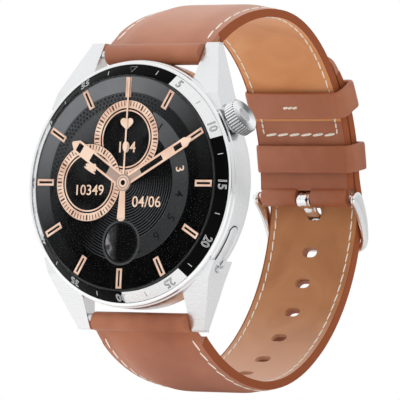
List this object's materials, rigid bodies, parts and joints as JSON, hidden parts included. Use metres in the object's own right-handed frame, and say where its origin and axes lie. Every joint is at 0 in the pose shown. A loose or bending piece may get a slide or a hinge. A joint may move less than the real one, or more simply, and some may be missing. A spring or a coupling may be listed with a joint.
{
  "type": "smartwatch",
  "caption": "Round smartwatch with a steel case, two-tone bezel, pressed and turned crown, side button and a buckled leather strap that loops round a wrist opening.",
  "frame": {"origin": "centre of the sensor window's flat outer face, which lies on the wrist", "axes": "+Y out of the back of the case towards the wrist, +Z towards 12 o'clock, +X towards 3 o'clock; the dial faces -Y"},
  "size_m": [0.0461, 0.0695, 0.0698],
  "materials": {
    "steel_case": "polished with brushed flanks",
    "bezel_two_tone": "gloss black and bare steel",
    "glass": "clear, polished",
    "gasket_rubber": "matt",
    "display": "gloss",
    "frame_plastic": "matt",
    "battery_foil": "satin",
    "circuit_board": "solder mask",
    "chip_metal": "satin",
    "copper": "bare",
    "back_shell": "satin",
    "spring_steel": "satin",
    "dark_steel": "oxidised",
    "polished_steel": "polished",
    "brown_leather": "smooth, waxed",
    "tan_lining": "matt nubuck"
  },
  "bodies": {
    "watch_case": {"mid_case": "steel_case", "bezel_rim": "steel_case", "bezel_insert": "bezel_two_tone", "cover_glass": "glass", "glass_gasket": "gasket_rubber", "display_panel": "display", "inner_frame": "frame_plastic", "battery": "battery_foil", "speaker": "frame_plastic", "microphone": "chip_metal", "vibration_motor": "chip_metal", "main_board": "circuit_board", "processor_chips": "chip_metal", "case_back": "back_shell", "back_screws": "dark_steel", "back_gasket": "gasket_rubber", "sensor_window": "glass", "charging_coil": "copper", "sensor_board": "circuit_board", "crown_tube": "steel_case", "crown_spring": "spring_steel", "crown_switch": "chip_metal", "button_spring": "spring_steel", "button_switch": "chip_metal", "upper_spring_bar": "dark_steel", "lower_spring_bar": "dark_steel", "upper_bar_spring": "spring_steel", "lower_bar_spring": "spring_steel", "short_strap_outer": "brown_leather", "short_strap_lining": "tan_lining", "long_strap_outer": "brown_leather", "long_strap_lining": "tan_lining"},
    "crown_slider": {"crown_washer": "spring_steel"},
    "crown_knob": {"crown": "steel_case", "crown_o_ring": "gasket_rubber", "crown_clip": "spring_steel"},
    "button": {"side_button": "steel_case", "button_o_ring": "gasket_rubber", "button_clip": "spring_steel"},
    "clasp": {"fixed_keeper": "brown_leather", "buckle_spring_bar": "dark_steel"},
    "loose_keeper": {"loose_keeper": "brown_leather"},
    "buckle": {"buckle_frame": "polished_steel"},
    "tongue": {"buckle_tongue": "polished_steel"},
    "upper_pin_left": {"upper_pin_left": "dark_steel"},
    "upper_pin_right": {"upper_pin_right": "dark_steel"},
    "lower_pin_left": {"lower_pin_left": "dark_steel"},
    "lower_pin_right": {"lower_pin_right": "dark_steel"}
  },
  "joints": [
    {"name": "crown_press", "type": "slide", "parent": "watch_case", "child": "crown_slider", "axis": [-0.866, 0, -0.5], "range_m": [0, 0.0006], "stiffness_N_per_m": 400, "springref_m": -0.0005, "deforming": ["crown_spring"]},
    {"name": "crown_turn", "type": "hinge", "parent": "crown_slider", "child": "crown_knob", "pos_m": [0, -0.0056, 0], "axis": [0.866, 0, 0.5], "continuous": true},
    {"name": "button_press", "type": "slide", "parent": "watch_case", "child": "button", "axis": [-0.8616, 0, 0.5075], "range_m": [0, 0.0005], "stiffness_N_per_m": 400, "springref_m": -0.0005, "deforming": ["button_spring"]},
    {"name": "strap_flex", "type": "slide", "parent": "watch_case", "child": "clasp", "axis": [0, 1, 0], "range_m": [-0.003, 0.003], "stiffness_N_per_m": 500, "deforming": ["short_strap_outer", "short_strap_lining", "long_strap_outer", "long_strap_lining"]},
    {"name": "loose_keeper_slide", "type": "hinge", "parent": "clasp", "child": "loose_keeper", "pos_m": [0, 0.01487, 0.00215], "axis": [1, 0, 0], "range_deg": [-3.2, 3.2]},
    {"name": "buckle_swing", "type": "hinge", "parent": "clasp", "child": "buckle", "pos_m": [0, 0.0498, 0.0024], "axis": [1, 0, 0], "range_deg": [0, 5]},
    {"name": "tongue_lift", "type": "hinge", "parent": "buckle", "child": "tongue", "pos_m": [0, 0.0498, 0.0024], "axis": [1, 0, 0], "range_deg": [0, 6]},
    {"name": "upper_pin_left_press", "type": "slide", "parent": "watch_case", "child": "upper_pin_left", "axis": [1, 0, 0], "range_m": [0, 0.0013], "stiffness_N_per_m": 200, "springref_m": -0.001, "deforming": ["upper_bar_spring"]},
    {"name": "upper_pin_right_press", "type": "slide", "parent": "watch_case", "child": "upper_pin_right", "axis": [-1, 0, 0], "range_m": [0, 0.0013], "stiffness_N_per_m": 200, "springref_m": -0.001, "deforming": ["upper_bar_spring"]},
    {"name": "lower_pin_left_press", "type": "slide", "parent": "watch_case", "child": "lower_pin_left", "axis": [1, 0, 0], "range_m": [0, 0.0013], "stiffness_N_per_m": 200, "springref_m": -0.001, "deforming": ["lower_bar_spring"]},
    {"name": "lower_pin_right_press", "type": "slide", "parent": "watch_case", "child": "lower_pin_right", "axis": [-1, 0, 0], "range_m": [0, 0.0013], "stiffness_N_per_m": 200, "springref_m": -0.001, "deforming": ["lower_bar_spring"]}
  ]
}
